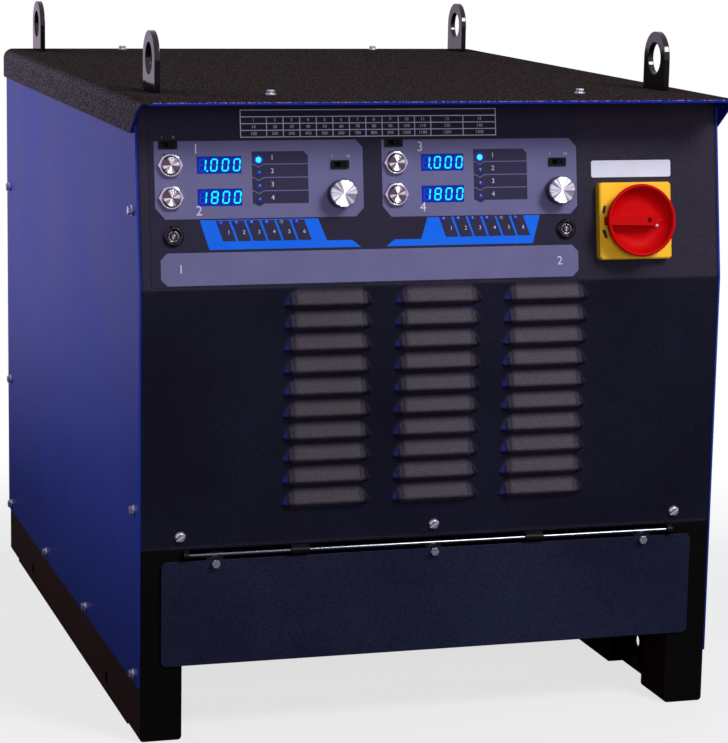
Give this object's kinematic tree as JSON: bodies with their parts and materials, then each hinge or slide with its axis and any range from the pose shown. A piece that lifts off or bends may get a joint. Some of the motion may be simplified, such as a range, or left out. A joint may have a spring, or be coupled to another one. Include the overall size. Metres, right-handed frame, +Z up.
{
  "type": "stud welder",
  "caption": "Floor-standing stud welding power source: sheet case on skids, black hood with lifting eyes, sloped control panel, louvred front and a hinged flap over the sockets.",
  "frame": {"origin": "centre of the bounding box at floor level", "axes": "+Z up, the control panel faces -Y, +X is to the right seen from the front"},
  "size_m": [0.65, 0.904, 0.733],
  "materials": {
    "case_blue_paint": "satin",
    "panel_dark_paint": "satin",
    "hood_black_texture": "textured",
    "skid_black_paint": "satin",
    "flap_navy_paint": "satin",
    "lifting_black_gloss": "gloss",
    "zinc_steel": "satin",
    "chrome_plate": "polished",
    "spun_aluminium": "spun",
    "sink_aluminium": "matte",
    "black_plastic": "matte",
    "black_gloss_plastic": "gloss",
    "overlay_film": "satin",
    "display_blue": "gloss",
    "lens_blue": "gloss",
    "board_green": "satin",
    "yellow_plastic": "satin",
    "red_plastic": "gloss",
    "socket_brass": "machined",
    "winding_copper": "varnished",
    "core_iron": "matte"
  },
  "bodies": {
    "case": {"left_skid": "skid_black_paint", "right_skid": "skid_black_paint", "floor_pan": "skid_black_paint", "front_sill": "skid_black_paint", "lifting_bar_front_left": "lifting_black_gloss", "lifting_bar_front_right": "lifting_black_gloss", "lifting_bar_rear_left": "lifting_black_gloss", "lifting_bar_rear_right": "lifting_black_gloss", "left_side_panel": "case_blue_paint", "right_side_panel": "case_blue_paint", "rear_panel": "panel_dark_paint", "top_cover": "hood_black_texture", "front_panel": "panel_dark_paint", "front_panel_screws": "zinc_steel", "case_screws": "zinc_steel", "control_overlay": "overlay_film", "left_display_board": "display_blue", "right_display_board": "display_blue", "push_button_bezels": "chrome_plate", "key_switch_housings": "black_gloss_plastic", "slide_switch_housings": "black_plastic", "encoder_bodies": "black_plastic", "indicator_lenses": "lens_blue", "control_board": "board_green", "disconnect_plate": "yellow_plastic", "disconnect_switch": "black_plastic", "hinge_knuckles": "black_plastic", "terminal_panel": "skid_black_paint", "weld_sockets": "socket_brass", "control_sockets": "zinc_steel", "transformer_core": "core_iron", "transformer_windings": "winding_copper", "output_choke": "core_iron", "rectifier_heatsink": "sink_aluminium", "thyristor_modules": "black_plastic", "fan_bracket": "zinc_steel", "fan_motor": "black_plastic", "cable_gland": "black_plastic"},
    "left_upper_button": {"left_upper_button": "chrome_plate"},
    "left_lower_button": {"left_lower_button": "chrome_plate"},
    "right_upper_button": {"right_upper_button": "chrome_plate"},
    "right_lower_button": {"right_lower_button": "chrome_plate"},
    "left_key": {"left_key_plug": "chrome_plate"},
    "right_key": {"right_key_plug": "chrome_plate"},
    "left_mode_switch": {"left_mode_slider": "black_plastic"},
    "left_step_switch": {"left_step_slider": "black_plastic"},
    "right_mode_switch": {"right_mode_slider": "black_plastic"},
    "right_step_switch": {"right_step_slider": "black_plastic"},
    "left_dial_push": {"left_encoder_plunger": "zinc_steel"},
    "left_dial": {"left_dial_spindle": "zinc_steel", "left_dial_knob": "spun_aluminium"},
    "right_dial_push": {"right_encoder_plunger": "zinc_steel"},
    "right_dial": {"right_dial_spindle": "zinc_steel", "right_dial_knob": "spun_aluminium"},
    "disconnect": {"disconnect_handle": "red_plastic", "disconnect_shaft": "zinc_steel"},
    "socket_flap": {"flap": "flap_navy_paint", "hinge_rod": "zinc_steel", "flap_screws": "zinc_steel"},
    "fan": {"fan_rotor": "sink_aluminium"}
  },
  "joints": [
    {"name": "left_upper_button_press", "type": "slide", "parent": "case", "child": "left_upper_button", "axis": [0, 0.9893, -0.1461], "range_m": [0, 0.002], "stiffness_N_per_m": 800, "springref_m": -0.001},
    {"name": "left_lower_button_press", "type": "slide", "parent": "case", "child": "left_lower_button", "axis": [0, 0.9893, -0.1461], "range_m": [0, 0.002], "stiffness_N_per_m": 800, "springref_m": -0.001},
    {"name": "left_mode_switch_slide", "type": "slide", "parent": "case", "child": "left_mode_switch", "axis": [-1, 0, 0], "range_m": [0, 0.006]},
    {"name": "left_step_switch_slide", "type": "slide", "parent": "case", "child": "left_step_switch", "axis": [-1, 0, 0], "range_m": [0, 0.006]},
    {"name": "left_key_turn", "type": "hinge", "parent": "case", "child": "left_key", "pos_m": [-0.283, -0.40397, 0.53041], "axis": [0, 0.9893, -0.1461], "range_deg": [0, 90]},
    {"name": "left_dial_press", "type": "slide", "parent": "case", "child": "left_dial_push", "axis": [0, 0.9893, -0.1461], "range_m": [0, 0.001], "stiffness_N_per_m": 900, "springref_m": -0.001},
    {"name": "left_dial_turn", "type": "hinge", "parent": "left_dial_push", "child": "left_dial", "pos_m": [-0.1055, -0.39805, 0.57048], "axis": [0, 0.9893, -0.1461], "continuous": true},
    {"name": "right_upper_button_press", "type": "slide", "parent": "case", "child": "right_upper_button", "axis": [0, 0.9893, -0.1461], "range_m": [0, 0.002], "stiffness_N_per_m": 800, "springref_m": -0.001},
    {"name": "right_lower_button_press", "type": "slide", "parent": "case", "child": "right_lower_button", "axis": [0, 0.9893, -0.1461], "range_m": [0, 0.002], "stiffness_N_per_m": 800, "springref_m": -0.001},
    {"name": "right_mode_switch_slide", "type": "slide", "parent": "case", "child": "right_mode_switch", "axis": [-1, 0, 0], "range_m": [0, 0.006]},
    {"name": "right_step_switch_slide", "type": "slide", "parent": "case", "child": "right_step_switch", "axis": [-1, 0, 0], "range_m": [0, 0.006]},
    {"name": "right_key_turn", "type": "hinge", "parent": "case", "child": "right_key", "pos_m": [0.1426, -0.40397, 0.53041], "axis": [0, 0.9893, -0.1461], "range_deg": [0, 90]},
    {"name": "right_dial_press", "type": "slide", "parent": "case", "child": "right_dial_push", "axis": [0, 0.9893, -0.1461], "range_m": [0, 0.001], "stiffness_N_per_m": 900, "springref_m": -0.001},
    {"name": "right_dial_turn", "type": "hinge", "parent": "right_dial_push", "child": "right_dial", "pos_m": [0.134, -0.39805, 0.57048], "axis": [0, 0.9893, -0.1461], "continuous": true},
    {"name": "disconnect_turn", "type": "hinge", "parent": "case", "child": "disconnect", "pos_m": [0.2185, -0.40294, 0.53734], "axis": [0, 0.9893, -0.1461], "range_deg": [0, 90]},
    {"name": "flap_swing", "type": "hinge", "parent": "case", "child": "socket_flap", "pos_m": [0, -0.415, 0.1986], "axis": [-1, 0, 0], "range_deg": [0, 120]},
    {"name": "fan_spin", "type": "hinge", "parent": "case", "child": "fan", "pos_m": [0, 0.388, 0.365], "axis": [0, 1, 0], "continuous": true}
  ]
}
